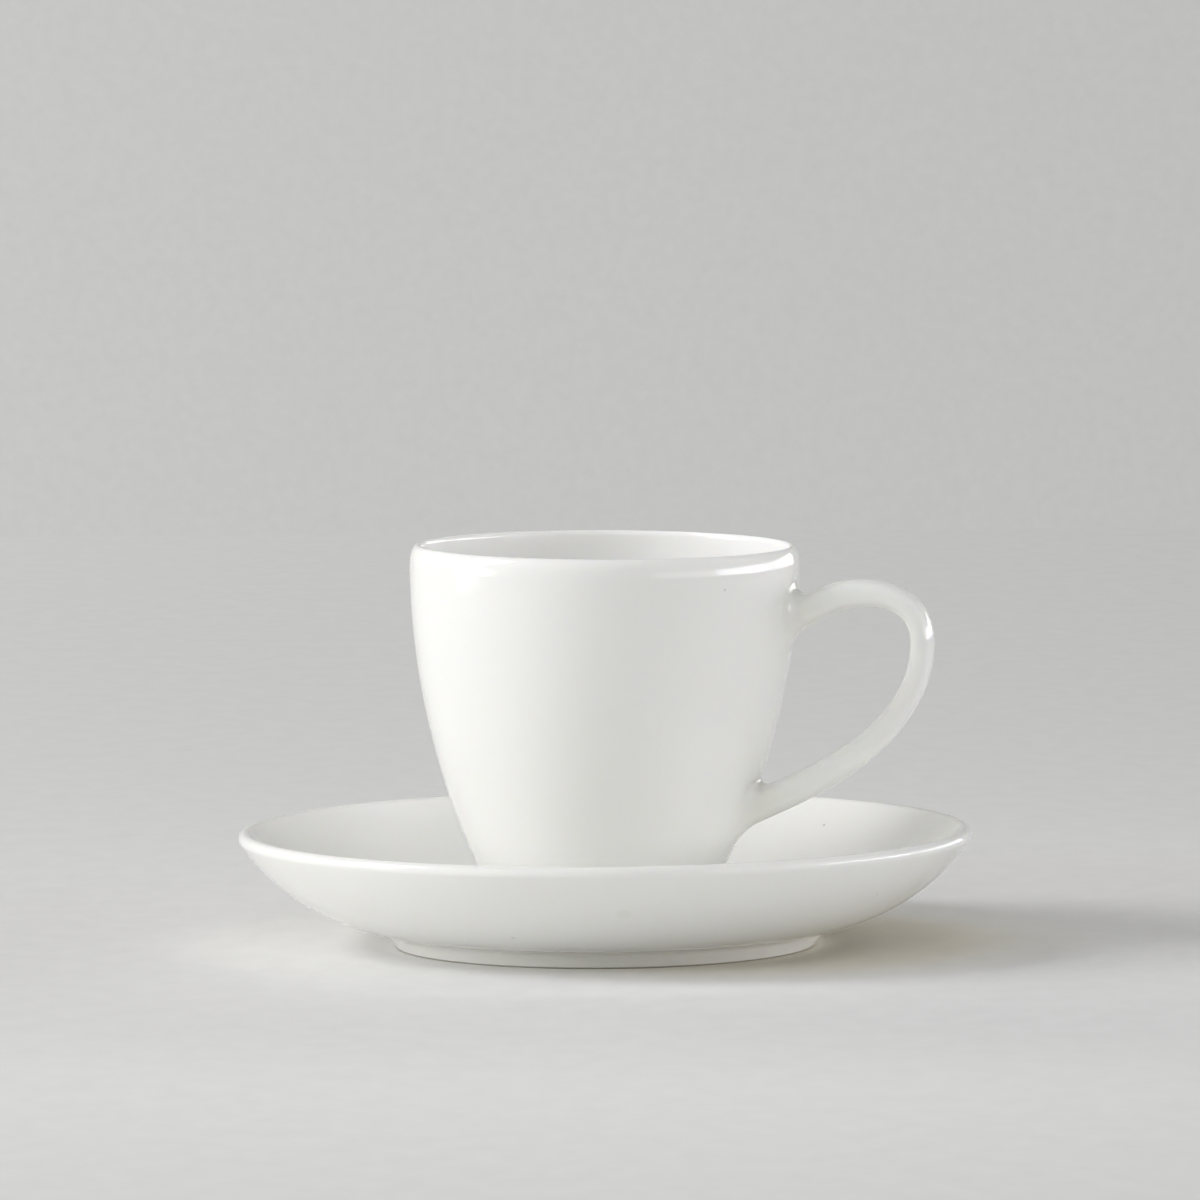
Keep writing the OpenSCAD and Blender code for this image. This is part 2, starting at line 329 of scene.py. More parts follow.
class TurningTree:
    """The Geometry Nodes tree that turns a half section round the Z axis and leans it a little."""

    INPUTS = {
        "Section": "Geometry",
        "Section Points": "Int",
        "Segments": "Int",
        "Foot Height": "Float",
        "Height": "Float",
        "Wall Lean": "Float",
        "Rim Tilt": "Float",
        "Shift": "Float",
        "Seam Reach": "Float",
        "Lining Start": "Int",
        "Finish": "Material",
    }
    SEAM_REACH = 1e-6
    HALF_SHEET = 0.5

    def __init__(self) -> None:
        """Builds the tree."""
        board = new_group("GeometryNodeTree", "turned_form", self.INPUTS, {"China": "Geometry"})
        given = board.add("NodeGroupInput").outputs
        position = board.add("GeometryNodeInputPosition").outputs[0]
        spread = board.split(position)
        # On the unit sheet, X says which point of the section a place stands for and Y its turn.
        last = board.sum("SUBTRACT", given["Section Points"], 1)
        along = board.sum("ADD", spread[0], self.HALF_SHEET)
        index = board.sum("ROUND", board.sum("MULTIPLY", along, last))
        sheet = self._lined(board, given, index)
        found = board.add(
            "GeometryNodeSampleIndex",
            {"Geometry": given["Section"], "Value": position, "Index": index},
            data_type="FLOAT_VECTOR",
            domain="POINT",
        )
        around = board.sum("ADD", spread[1], self.HALF_SHEET)
        turn = board.sum("MULTIPLY", around, math.tau)
        bent = self._leaned(board, given, board.split(found.outputs[0]), turn)
        places = {"Geometry": sheet, "Position": bent}
        china = board.add("GeometryNodeSetPosition", places).outputs[0]
        seam = {"Geometry": china, "Distance": given["Seam Reach"]}
        china = board.add("GeometryNodeMergeByDistance", seam).outputs[0]
        china = board.add("GeometryNodeFlipFaces", {"Mesh": china}).outputs[0]
        china = board.add("GeometryNodeSetShadeSmooth", {"Geometry": china}).outputs[0]
        china = board.add("GeometryNodeRealizeInstances", {"Geometry": china}).outputs[0]
        dress = {"Geometry": china, "Material": given["Finish"]}
        china = board.add("GeometryNodeSetMaterial", dress).outputs[0]
        board.add("NodeGroupOutput", {"China": china})
        self.tree = board.tree

    @staticmethod
    def _lined(board: NodeBoard, given: Sockets, index: Socket) -> Socket:
        """Makes the flat sheet of faces: the section's points one way, the turn the other.

        Args:
            board: the tree's board.
            given: the tree's inputs.
            index: the socket that says which point of the section a point stands for.

        Returns:
            The sheet, with the lining marked by the attribute that the glaze reads.
        """
        columns = board.sum("ADD", given["Segments"], 1)
        sizes = {"Vertices X": given["Section Points"], "Vertices Y": columns}
        sheet = board.add("GeometryNodeMeshGrid", {"Size X": 1.0, "Size Y": 1.0} | sizes)
        inside = board.sum("GREATER_THAN", index, given["Lining Start"])
        marked = {"Geometry": sheet.outputs[0], "Name": LINING, "Value": inside}
        kinds = {"data_type": "FLOAT", "domain": "POINT"}
        return board.add("GeometryNodeStoreNamedAttribute", marked, **kinds).outputs[0]

    @staticmethod
    def _leaned(board: NodeBoard, given: Sockets, half_section: Sockets, turn: Socket) -> Socket:
        """Turns a point of the section round the axis and leans it, as FiringWarp.bent does.

        Args:
            board: the tree's board.
            given: the tree's inputs.
            half_section: the sockets of the section's point, out along X and up along Z.
            turn: the socket of the angle round the axis.

        Returns:
            The socket of the point's place.
        """
        out, _, z = half_section
        x = board.sum("MULTIPLY", out, board.sum("COSINE", turn))
        y = board.sum("MULTIPLY", out, board.sum("SINE", turn))
        rise = board.sum("SUBTRACT", z, given["Foot Height"])
        lean = board.sum("MULTIPLY", rise, board.sum("TANGENT", given["Wall Lean"]))
        share = board.sum("DIVIDE", rise, given["Height"])
        tilt = board.sum("TANGENT", given["Rim Tilt"])
        dip = board.sum("MULTIPLY", board.sum("MULTIPLY", x, share), tilt)
        leaned = board.sum("ADD", board.sum("ADD", x, lean), given["Shift"])
        return board.join(leaned, y, board.sum("SUBTRACT", z, dip))

    def turn(
        self,
        name: str,
        outline: list[Point],
        segments: int,
        warp: FiringWarp,
        finish: bpy.types.Material,
    ) -> bpy.types.Object:
        """Turns an outline into a closed china body.

        Args:
            name: the new piece's name.
            outline: the half section, from the axis under the piece round the rim to the axis.
            segments: the number of faces round the axis.
            warp: the lean that the piece took in the kiln.
            finish: the material.

        Returns:
            The piece, as a plain mesh with no modifier.
        """
        section = bpy.data.meshes.new(name)
        places = [(r * MM, 0, h * MM) for r, h in outline]
        section.from_pydata(places, [(i, i + 1) for i in range(len(places) - 1)], [])
        piece = placed(name, section)
        turning = piece.modifiers.new("turning", "NODES")
        turning.node_group = self.tree
        values = {
            "Section Points": len(outline),
            "Segments": segments,
            "Foot Height": warp.foot_height * MM,
            "Height": warp.height * MM,
            "Wall Lean": math.radians(warp.wall_lean),
            "Rim Tilt": math.radians(warp.rim_tilt),
            "Shift": warp.shift * MM,
            "Seam Reach": self.SEAM_REACH,
            "Lining Start": max(range(len(outline)), key=lambda i: outline[i][1]),
            "Finish": finish,
        }
        for socket in self.tree.interface.items_tree:
            if socket.in_out == "INPUT" and socket.name in values:
                turning[socket.identifier] = values[socket.name]
        ready = piece.evaluated_get(bpy.context.evaluated_depsgraph_get())
        mesh = bpy.data.meshes.new_from_object(ready)
        piece.modifiers.remove(turning)
        piece.data = mesh
        bpy.data.meshes.remove(section)
        mesh.name = name
        return piece


class GlazeGroups:
    """The shader node groups that all the china shares.

    Attributes:
        ring: the mask of a soft ring round the axis.
        spot: the mask of a soft spot.
        skin: the glaze itself.
    """

    COLOURS = tuple(f"{part} Colour" for part in ("Body", "Cloud", "Thin", "Pool", "Speck", "Clay"))
    MASKS = ("Thin", "Pool", "Mark", "Bare")
    SCALES = ("Cloud Scale", "Speck Scale", "Peel Scale")
    SHARES = ("Speck Share", "Gloss Roughness", "Clay Roughness")
    CLOUD_DETAIL = 2.0
    CLOUD_EDGES = (0.3, 0.7)
    CLOUD_DULLING = 0.02
    SPECK_SIZE = 0.03
    SPECK_SIZE_SPREAD = 0.05
    SPECK_CORE_SHARE = 0.3
    SPECK_DEPTH = 0.4
    SPECK_DEPTH_SPREAD = 0.4
    PIT_DEPTH = 0.6
    PEEL_DETAIL = 1.0
    GRAIN_SCALE = 4200.0
    GRAIN_DETAIL = 3.0
    GRAIN_DEPTH = 0.8

    def __init__(self) -> None:
        """Builds the groups."""
        self.ring = self._ring_mask()
        self.spot = self._spot_mask()
        self.skin = self._glaze_skin()

    @staticmethod
    def _ring_mask() -> bpy.types.NodeTree:
        """Builds the mask of a soft ring round the axis, 1 on the ring and 0 past its reach."""
        inputs = {"Place": "Vector"} | dict.fromkeys(("Radius", "Height", "Core", "Reach"), "Float")
        board = new_group("ShaderNodeTree", "ring_mask", inputs, {"Mask": "Float"})
        given = board.add("NodeGroupInput").outputs
        axes = board.split(given["Place"])
        across = board.sum("SUBTRACT", board.length(axes[0], axes[1]), given["Radius"])
        up = board.sum("SUBTRACT", axes[2], given["Height"])
        mask = board.fade(board.length(across, up), given["Reach"], given["Core"])
        board.add("NodeGroupOutput", {"Mask": mask})
        return board.tree

    @staticmethod
    def _spot_mask() -> bpy.types.NodeTree:
        """Builds the mask of a soft spot, 1 in its core and 0 past its reach."""
        inputs = {"Place": "Vector", "Middle": "Vector", "Core": "Float", "Reach": "Float"}
        board = new_group("ShaderNodeTree", "spot_mask", inputs, {"Mask": "Float"})
        given = board.add("NodeGroupInput").outputs
        places = {"Vector": given["Place"], "Vector_001": given["Middle"]}
        away = board.add("ShaderNodeVectorMath", places, operation="DISTANCE").outputs["Value"]
        board.add("NodeGroupOutput", {"Mask": board.fade(away, given["Reach"], given["Core"])})
        return board.tree

    @classmethod
    def _glaze_skin(cls) -> bpy.types.NodeTree:
        """Builds the glaze itself: clouds, specks, thin edges, pooled creases and bare clay."""
        inputs = {"Place": "Vector"} | dict.fromkeys(cls.COLOURS, "Color")
        inputs |= dict.fromkeys(cls.MASKS + cls.SCALES + cls.SHARES, "Float")
        outputs = {"Colour": "Color", "Roughness": "Float", "Relief": "Float"}
        board = new_group("ShaderNodeTree", "glaze_skin", inputs, outputs)
        given = board.add("NodeGroupInput").outputs
        place = given["Place"]

        clouds = board.noise(place, given["Cloud Scale"], cls.CLOUD_DETAIL)
        cloud = board.fade(clouds, *cls.CLOUD_EDGES)
        colour = board.blend_colour(cloud, given["Body Colour"], given["Cloud Colour"])
        colour = board.blend_colour(given["Pool"], colour, given["Pool Colour"])
        # The Thin mask also carries the paler inside, which is painted light.
        colour = board.blend_colour(given["Thin"], colour, given["Thin Colour"])

        cells = board.add("ShaderNodeTexVoronoi", {"Vector": place, "Scale": given["Speck Scale"]})
        tint = board.add("ShaderNodeSeparateColor", {"Color": cells.outputs["Color"]}).outputs
        chosen = board.sum("LESS_THAN", tint[0], given["Speck Share"])
        size = board.sum("MULTIPLY_ADD", tint[1], cls.SPECK_SIZE_SPREAD, cls.SPECK_SIZE)
        core = board.sum("MULTIPLY", size, cls.SPECK_CORE_SHARE)
        dot = board.fade(cells.outputs["Distance"], size, core)
        depth = board.sum("MULTIPLY_ADD", tint[2], cls.SPECK_DEPTH_SPREAD, cls.SPECK_DEPTH)
        speck = board.sum("MULTIPLY", board.sum("MULTIPLY", dot, chosen), depth)
        # The Mark mask holds faint marks, and painted shade where a foot meets the table.
        marked = board.sum("MAXIMUM", speck, given["Mark"])
        colour = board.blend_colour(marked, colour, given["Speck Colour"])
        colour = board.blend_colour(given["Bare"], colour, given["Clay Colour"])

        soft = board.sum("MULTIPLY_ADD", cloud, cls.CLOUD_DULLING, given["Gloss Roughness"])
        rough = board.blend_value(given["Bare"], soft, given["Clay Roughness"])

        glazed = board.sum("SUBTRACT", 1.0, given["Bare"])
        wave = board.noise(place, given["Peel Scale"], cls.PEEL_DETAIL)
        peel = board.sum("MULTIPLY", wave, glazed)
        clay = board.sum("MULTIPLY", given["Bare"], cls.GRAIN_DEPTH)
        rubbed = board.noise(place, cls.GRAIN_SCALE, cls.GRAIN_DETAIL)
        grain = board.sum("MULTIPLY", rubbed, clay)
        pit = board.sum("MULTIPLY", speck, -cls.PIT_DEPTH)
        relief = board.sum("ADD", board.sum("ADD", peel, grain), pit)
        board.add("NodeGroupOutput", {"Colour": colour, "Roughness": rough, "Relief": relief})
        return board.tree


@dataclass(frozen=True)
class Fade:
    """How far an effect of the glaze reaches from its line or middle, in millimetres."""

    core: float
    reach: float
    strength: float = 1


@dataclass(frozen=True)
class Ring:
    """A ring round the axis that a glaze effect follows, in millimetres."""

    radius: float
    height: float
    fade: Fade


@dataclass(frozen=True)
class Spot:
    """A round spot that a glaze effect fills, in millimetres."""

    middle: Place
    fade: Fade


Shapes = tuple[Ring | Spot, ...]


@dataclass(frozen=True)
class Glaze:
    """The finish of glazed china: the glaze over the body, and the clay where it was wiped off."""

    body: Colour = (0.880, 0.881, 0.850)
    cloud: Colour = (0.874, 0.876, 0.842)
    # The thin colour also paints the inside paler, which is painted light.
    thin: Colour = (0.955, 0.952, 0.927)
    pool: Colour = (0.862, 0.856, 0.806)
    speck: Colour = (0.42, 0.38, 0.30)
    clay: Colour = (0.62, 0.585, 0.50)
    cloud_size: float = 26
    speck_cell: float = 5
    speck_share: float = 0.02
    peel_size: float = 7
    peel_depth: float = 0.02
    gloss_roughness: float = 0.07
    clay_roughness: float = 0.72
    glow_weight: float = 0.2
    glow_depth: float = 0.8
    glow_tint: Colour = (1.0, 0.82, 0.5)
    index: float = 1.52

    def material(
        self,
        name: str,
        groups: GlazeGroups,
        thin: Shapes = (),
        pool: Shapes = (),
        marks: Shapes = (),
        bare: Shapes = (),
        lining_light: float = 0,
    ) -> bpy.types.Material:
        """Makes the material of one piece.

        Args:
            name: the material's name.
            groups: the shared node groups.
            thin: the rings and spots where the glaze ran thin.
            pool: the rings and spots where it pooled.
            marks: faint marks in it, and painted shade given in the speck colour.
            bare: the rings that were wiped bare for firing.
            lining_light: how much paler the inside is painted, as painted light.

        Returns:
            The material.
        """
        made, board = new_surface(name)
        place = board.add("ShaderNodeTexCoord").outputs["Object"]
        tones = (self.body, self.cloud, self.thin, self.pool, self.speck, self.clay)
        shapes = (thin, pool, marks, bare)
        sizes = (self.cloud_size, self.speck_cell, self.peel_size)
        masks = [self._masks(board, groups, place, some) for some in shapes]
        inputs = {
            "Place": place,
            **dict(zip(groups.COLOURS, ((*tone, 1) for tone in tones))),
            **dict(zip(groups.MASKS, masks)),
            **dict(zip(groups.SCALES, (1 / (size * MM) for size in sizes))),
            "Speck Share": self.speck_share,
            "Gloss Roughness": self.gloss_roughness,
            "Clay Roughness": self.clay_roughness,
        }
        # The thin colour paints the inside paler here, which is painted light.
        if lining_light:
            inside = board.add("ShaderNodeAttribute", attribute_name=LINING).outputs["Fac"]
            painted_light = board.sum("MULTIPLY", inside, lining_light)
            inputs["Thin"] = board.sum("MAXIMUM", inputs["Thin"], painted_light)
        skin = board.add("ShaderNodeGroup", inputs, node_tree=groups.skin).outputs
        relief = {"Strength": 1.0, "Distance": self.peel_depth * MM, "Height": skin["Relief"]}
        china = {
            "Base Color": skin["Colour"],
            "Roughness": skin["Roughness"],
            "Normal": board.add("ShaderNodeBump", relief).outputs[0],
            "IOR": self.index,
            "Subsurface Weight": self.glow_weight,
            "Subsurface Scale": self.glow_depth * MM,
            "Subsurface Radius": self.glow_tint,
        }
        shader = board.add("ShaderNodeBsdfPrincipled", china).outputs[0]
        board.add("ShaderNodeOutputMaterial", {"Surface": shader})
        return made

    @staticmethod
    def _masks(board: NodeBoard, groups: GlazeGroups, place: Socket, shapes: Shapes) -> Feed:
        """Joins the masks of some rings and spots.

        Args:
            board: the material's board.
            groups: the shared node groups.
            place: the socket of the surface's own place.
            shapes: the rings and spots.

        Returns:
            A socket, or 0 where there are no shapes.
        """
        joined = 0.0
        for shape in shapes:
            if isinstance(shape, Ring):
                group = groups.ring
                inputs = {"Radius": shape.radius * MM, "Height": shape.height * MM}
            else:
                group = groups.spot
                inputs = {"Middle": tuple(c * MM for c in shape.middle)}
            inputs |= {"Place": place, "Core": shape.fade.core * MM, "Reach": shape.fade.reach * MM}
            mask = board.add("ShaderNodeGroup", inputs, node_tree=group).outputs[0]
            scaled = board.sum("MULTIPLY", mask, shape.fade.strength)
            joined = board.sum("MAXIMUM", joined, scaled)
        return joined


@dataclass(frozen=True, kw_only=True)
class TurnedBody:
    """A china body turned from a half section, with a rounded rim and a foot ring.

    Heights count from its foot. The fades say how far the effects of the glaze reach, the marks
    are its faint flaws, and the lining light says how much paler the inside is painted, which
    is painted light.
    """

    diameter: float
    height: float
    rim_thickness: float
    foot_flat: float
    foot_round: float
    recess_height: float
    inner_lean_share: float = 0.5
    crease_round: float
    corner_round: float = 0.5
    segments: int
    long_steps: int = 56
    rim_steps: int = 24
    round_steps: int = 6
    rim_fade: Fade
    crease_fade: Fade
    bare_fade: Fade
    marks: Shapes
    lining_light: float

    @property
    def bead(self) -> Point:
        """The middle of the rounded rim."""
        return (self.diameter / 2 - self.rim_thickness / 2, self.height - self.rim_thickness / 2)

    def foot_ring(self, inner: float, outer: float, crease: Point, after: Point) -> list[Point]:
        """Lists the points from the axis under the body round its foot ring to its crease.

        Args:
            inner: the radius where the ring's flat would end inside, were its corner sharp.
            outer: the same outside.
            crease: the corner where the ring meets the body.
            after: a point of the body just past it.

        Returns:
            The points.
        """
        start, foot_in, foot_out = (0, self.recess_height), (inner, 0), (outer, 0)
        recess = (inner - self.inner_lean_share * self.recess_height, self.recess_height)
        steps = self.round_steps
        return [
            start,
            *rounding(start, recess, foot_in, self.corner_round, steps),
            *rounding(recess, foot_in, foot_out, self.foot_round, steps),
            *rounding(foot_in, foot_out, crease, self.foot_round, steps),
            *rounding(foot_out, crease, after, self.crease_round, steps),
        ]


@dataclass(frozen=True, kw_only=True)
class Saucer(TurnedBody):
    """The coupe saucer, with its foot ring, its dish and the well that the cup stands in."""

    rim_thickness: float = 2.3
    belly_diameter: float = 63.6
    belly_height: float = 2.5
    foot_diameter: float = 67.8
    foot_flat: float = 1.6
    foot_lean: float = 1.7
    recess_height: float = 1.5
    dish_diameter: float = 62
    dish_height: float = 5.4
    well_depth: float = 0.7
    well_radius: float = 17.5
    foot_round: float = 0.45
    # The contact fields paint shade, a dark line where the foot's outer edge meets the table.
    contact_shade_height: float = 0.05
    crease_round: float = 1
    segments: int = 288
    rim_fade: Fade = Fade(0.7, 2.4, 0.2)
    crease_fade: Fade = Fade(1.2, 4.2, 0.9)
    well_fade: Fade = Fade(0.2, 1.6, 0.7)
    contact_shade_fade: Fade = Fade(0.1, 0.36, 0.75)
    bare_fade: Fade = Fade(0.85, 1.05)
    marks: Shapes = (
        Spot((26.77, 47.69, 15.07), Fade(0.12, 0.35, 0.55)),
        Spot((-4.24, -47.34, 6.39), Fade(0.2, 0.6, 0.3)),
        Spot((15.04, -52.23, 11.14), Fade(0.5, 1.7, 0.07)),
    )
    # Paints the dish and the well paler, which is painted light.
    lining_light: float = 0.6

    @classmethod
    def fitted(cls) -> "Saucer":
        """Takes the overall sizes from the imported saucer."""
        low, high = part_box("saucer")
        return cls(diameter=(high.x - low.x) / MM, height=high.z / MM)

    @property
    def well_height(self) -> float:
        """The height of the floor that carries the cup."""
        return self.dish_height - self.well_depth

    def outline(self) -> list[Point]:
        """Works out the half section, from the recess underneath round the rim to the well."""
        bead_radius = self.rim_thickness / 2
        belly_low = (self.belly_diameter / 2, self.belly_height)
        belly_radius = level_arc_radius(belly_low, self.bead, bead_radius, BeadSide.OUTER)
        belly_middle = (belly_low[0], belly_low[1] + belly_radius)
        dish_low = (self.dish_diameter / 2, self.dish_height)
        dish_radius = level_arc_radius(dish_low, self.bead, bead_radius, BeadSide.INNER)
        dish_middle = (dish_low[0], dish_low[1] + dish_radius)
        outer = self.foot_diameter / 2 + self.foot_round
        inner = self.foot_diameter / 2 - self.foot_flat - self.foot_round
        crease_radius = outer + self.foot_lean
        crease_height = belly_middle[1] - half_chord(belly_radius, crease_radius - belly_middle[0])
        crease = (crease_radius, crease_height)
        belly = arc(
            belly_middle,
            belly_radius,
            bearing(belly_middle, crease),
            bearing(belly_middle, self.bead),
            self.long_steps,
        )
        past_crease = [p for p in belly if p[0] > crease[0] + self.crease_round]
        rim_end = bearing(self.bead, dish_middle)
        rim = arc(self.bead, bead_radius, bearing(belly_middle, self.bead), rim_end, self.rim_steps)
        dish = arc(dish_middle, dish_radius, rim_end - math.pi, -math.pi / 2, self.long_steps)
        well_edge = (self.well_radius, self.dish_height)
        well_foot = (self.well_radius - self.well_depth, self.well_height)
        steps = self.round_steps
        return [
            *self.foot_ring(inner, outer, crease, belly[2]),
            *past_crease,
            *rim[1:],
            *dish[1:],
            *rounding(dish_low, well_edge, well_foot, self.corner_round, steps),
            *rounding(well_edge, well_foot, (0, self.well_height), self.corner_round, steps),
            (0, self.well_height),
        ]

    def build(self, turning: TurningTree, groups: GlazeGroups, glaze: Glaze) -> bpy.types.Object:
        """Builds the saucer, dresses it and puts it on its body.

        Args:
            turning: the tree that turns sections.
            groups: the shared shader groups.
            glaze: the finish.

        Returns:
            The piece.
        """
        foot_middle = self.foot_diameter / 2 - self.foot_flat / 2
        crease = Ring(self.foot_diameter / 2 + self.foot_lean, self.belly_height, self.crease_fade)
        # The dark ring at the foot's outer edge is painted shade where it meets the table.
        contact_shade_radius = self.foot_diameter / 2 + self.foot_round
        finish = glaze.material(
            "saucer_glaze",
            groups,
            thin=(Ring(self.bead[0], self.height, self.rim_fade),),
            pool=(crease, Ring(self.well_radius, self.well_height, self.well_fade)),
            marks=(*self.marks, Ring(contact_shade_radius, self.contact_shade_height, self.contact_shade_fade)),
            bare=(Ring(foot_middle, 0, self.bare_fade),),
            lining_light=self.lining_light,
        )
        piece = turning.turn("saucer_china", self.outline(), self.segments, FiringWarp(), finish)
        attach(piece, "saucer")
        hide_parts("saucer")
        return piece


@dataclass(frozen=True, kw_only=True)
class Cup(TurnedBody):
    """The tapered cup, with its foot ring, wall, rim and bowl."""

    stand_height: float
    rim_thickness: float = 1.8
    lip_height: float = 3.6
    lip_depth: float = 1.3
    base_diameter: float = 32
    base_thickness: float = 2.9
    floor_thickness: float = 3
    turn_radius: float = 3.5
    bowl_radius: float = 9
    foot_inset: float = 2.1
    foot_flat: float = 1.2
    foot_height: float = 1.8
    recess_height: float = 1.4
    foot_round: float = 0.3
    crease_round: float = 0.35
    segments: int = 256
    wall_lean: float = 1.0
    rim_tilt: float = 0.6
    shift: float = -0.72
    rim_fade: Fade = Fade(0.6, 2.2, 0.5)
    crease_fade: Fade = Fade(0.3, 1.8, 0.9)
    bare_fade: Fade = Fade(0.9, 1.1)
    marks: Shapes = (Spot((24.81, -20.22, 60.13), Fade(0.1, 0.3, 0.4)),)
    # Paints the inside of the cup paler, which is painted light.
    lining_light: float = 0.9

    @classmethod
    def fitted(cls) -> "Cup":
        """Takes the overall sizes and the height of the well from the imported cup."""
        low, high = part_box("cup_body")
        sizes = {"diameter": high.x - low.x, "height": high.z - low.z, "stand_height": low.z}
        return cls(**{name: size / MM for name, size in sizes.items()})

    @property
    def warp(self) -> FiringWarp:
        """The lean that the cup and its handle share."""
        return FiringWarp(self.stand_height, self.height, self.wall_lean, self.rim_tilt, self.shift)

    @property
    def draw_in(self) -> float:
        """How far the wall's outside would draw in down to the table."""
        return (self.diameter - self.base_diameter) / 2

    @property
    def wall_radius(self) -> float:
        """The radius of the wall's outside curve."""
        return upright_arc_radius(self.draw_in, self.bead[1])

    @property
    def wall_middle(self) -> Point:
        """The middle of the wall's outside curve."""
        return (self.diameter / 2 - self.wall_radius, self.bead[1])

    def wall_x(self, height: float) -> float:
        """Returns the radius of the outside at a height."""
        return self.wall_middle[0] + half_chord(self.wall_radius, self.wall_middle[1] - height)

    def wall_turn(self, height: float) -> float:
        """Returns the angle by which the outside leans out at a height, in radians."""
        return math.asin((self.wall_middle[1] - height) / self.wall_radius)

    def lip(self) -> list[Point]:
        """Works out the rim, which rolls over softly outside and turns in short inside."""
        start = self.height - self.lip_height
        slope = math.tan(self.wall_turn(start)) * self.lip_height / self.lip_depth
        first = -math.atan(slope)
        rise = self.lip_height / (1 - math.sin(first))
        crown = self.wall_x(start) - self.lip_depth * math.cos(first)
        middle, radii = (crown, self.height - rise), (self.lip_depth, rise)
        outside = oval_arc(middle, radii, first, math.pi / 2, self.rim_steps)
        short = (crown - self.bead[0] + self.rim_thickness / 2, self.rim_thickness / 2)
        inside = oval_arc((crown, self.bead[1]), short, math.pi / 2, math.pi, self.rim_steps)
        return outside + inside[1:]

    def outline(self) -> list[Point]:
        """Works out the half section, from the recess underneath round the rim to the floor."""
        draw = self.draw_in + self.base_thickness - self.rim_thickness
        lining_radius = upright_arc_radius(draw, self.bead[1])
        lining_middle = (self.bead[0] - self.rim_thickness / 2 - lining_radius, self.bead[1])
        turn_height = self.foot_height + self.turn_radius
        turn_reach = half_chord(self.wall_radius - self.turn_radius, self.bead[1] - turn_height)
        turn_middle = (self.wall_middle[0] + turn_reach, turn_height)
        floor_height = self.recess_height + self.floor_thickness
        bowl_height = floor_height + self.bowl_radius
        bowl_reach = half_chord(lining_radius - self.bowl_radius, self.bead[1] - bowl_height)
        bowl_middle = (lining_middle[0] + bowl_reach, bowl_height)
        outer = turn_middle[0] + self.turn_radius - self.foot_inset
        inner = outer - self.foot_flat - 2 * self.foot_round
        crease_drop = half_chord(self.turn_radius, outer - turn_middle[0])
        crease = (outer, turn_middle[1] - crease_drop)
        turn_end = bearing(self.wall_middle, turn_middle)
        turn_start = bearing(turn_middle, crease)
        turn = arc(turn_middle, self.turn_radius, turn_start, turn_end, self.rim_steps)
        past_crease = [p for p in turn if p[0] > crease[0] + self.crease_round]
        bowl_start = bearing(lining_middle, bowl_middle)
        lip_start = -self.wall_turn(self.height - self.lip_height)
        return [
            *self.foot_ring(inner, outer, crease, turn[1]),
            *past_crease,
            *arc(self.wall_middle, self.wall_radius, turn_end, lip_start, self.long_steps)[1:-1],
            *self.lip(),
            *arc(lining_middle, lining_radius, 0, bowl_start, self.long_steps)[1:],
            *arc(bowl_middle, self.bowl_radius, bowl_start, -math.pi / 2, self.rim_steps)[1:],
            (0, floor_height),
        ]

    def build(self, turning: TurningTree, groups: GlazeGroups, glaze: Glaze) -> bpy.types.Object:
        """Builds the cup, dresses it and puts it on its body.

        Args:
            turning: the tree that turns sections.
            groups: the shared shader groups.
            glaze: the finish.

        Returns:
            The piece.
        """
        stand = self.stand_height
        turn_top = self.wall_x(self.foot_height + self.turn_radius)
        foot_middle = turn_top - self.foot_inset - self.foot_flat
        finish = glaze.material(
            "cup_glaze",
            groups,
            thin=(Ring(self.bead[0], stand + self.height, self.rim_fade),),
            pool=(Ring(self.wall_x(0), stand + self.foot_height, self.crease_fade),),
            marks=self.marks,
            bare=(Ring(foot_middle, stand, self.bare_fade),),
            lining_light=self.lining_light,
        )
        raised = [(r, h + stand) for r, h in self.outline()]
        piece = turning.turn("cup_china", raised, self.segments, self.warp, finish)
        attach(piece, "cup")
        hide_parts("cup_body")
        return piece


